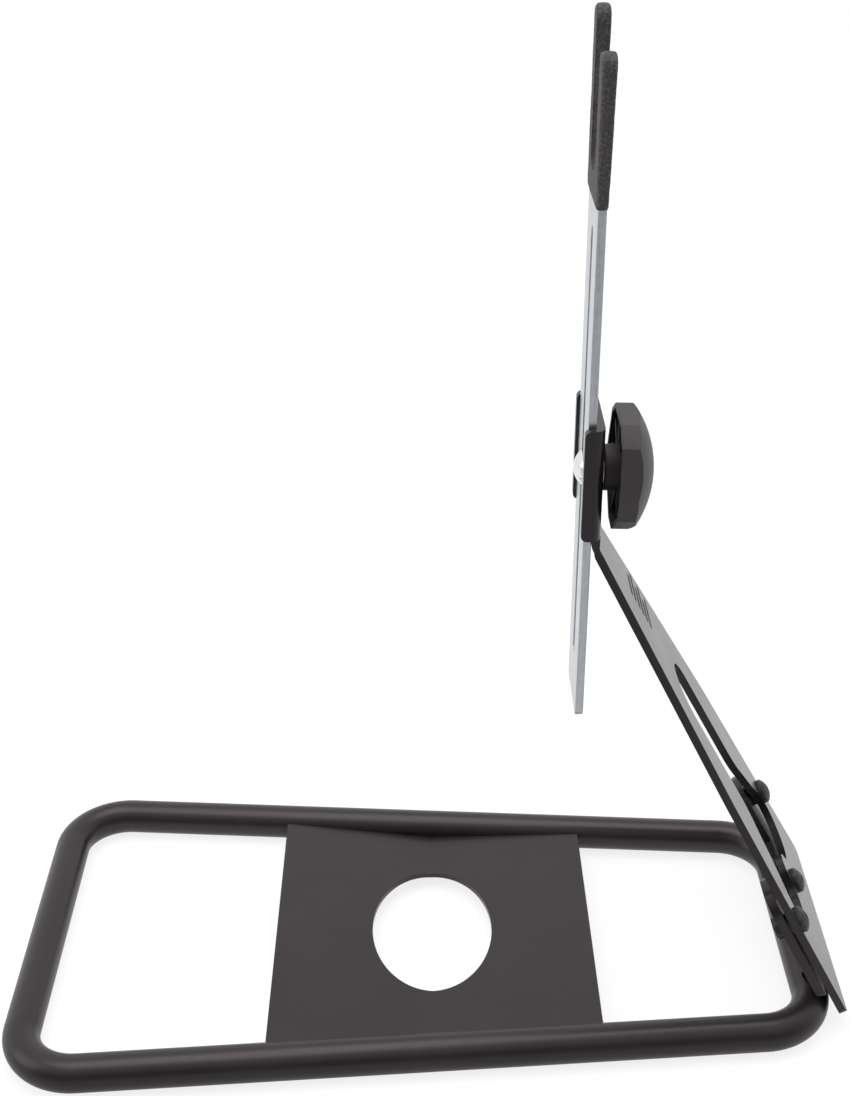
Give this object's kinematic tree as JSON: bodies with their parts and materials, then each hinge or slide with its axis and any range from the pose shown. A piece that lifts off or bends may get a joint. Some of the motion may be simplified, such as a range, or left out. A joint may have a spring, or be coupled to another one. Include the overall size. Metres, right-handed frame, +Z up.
{
  "type": "bicycle floor stand",
  "caption": "Free-standing floor stand: bent tube loop with a folded wheel plate, a leaning upright and a sliding bar that ends in a rubber-covered fork, clamped by a knob.",
  "frame": {"origin": "centre of the overall box in plan, on the floor under the base tube", "axes": "+X runs back along the base to the upright, +Y across the base to the longer prong's side, +Z up the sliding bar"},
  "size_m": [0.4322, 0.2256, 0.4985],
  "materials": {
    "tube_paint": "satin powder coat",
    "plate_paint": "satin powder coat",
    "weld": "satin powder coat over a weld bead",
    "zinc": "bright zinc plate",
    "bright": "polished plate",
    "black_screw": "black oxide",
    "rubber": "grainy matt rubber",
    "knob_plastic": "fine matt",
    "insert": "plain turned steel"
  },
  "bodies": {
    "stand": {"base_loop": "tube_paint", "cross_plate": "plate_paint", "bracket_plate": "plate_paint", "bracket_weld": "weld", "upright_plate": "plate_paint", "bolt_near": "black_screw", "bolt_far": "black_screw", "bolt_mid": "black_screw", "washer_near": "black_screw", "washer_far": "black_screw", "washer_mid": "black_screw", "nut_near": "black_screw", "nut_far": "black_screw", "nut_mid": "black_screw", "carriage_bolt": "bright"},
    "bar": {"slide_bar": "zinc", "fork_cover": "rubber"},
    "clamp_ring": {"clamp_washer": "insert"},
    "knob": {"knob_body": "knob_plastic", "knob_insert": "insert"}
  },
  "joints": [
    {"name": "bar_slide", "type": "slide", "parent": "stand", "child": "bar", "axis": [0, 0, 1], "range_m": [-0.099, 0.095]},
    {"name": "knob_travel", "type": "slide", "parent": "stand", "child": "clamp_ring", "axis": [1, 0, 0], "range_m": [0, 0.002]},
    {"name": "knob_turn", "type": "hinge", "parent": "clamp_ring", "child": "knob", "pos_m": [0.09138, 0, 0.29], "axis": [1, 0, 0], "range_deg": [0, 720]}
  ],
  "couplings": [
    {"joint": "knob_turn", "follows": "knob_travel", "rad_per_m": 6283.2}
  ]
}
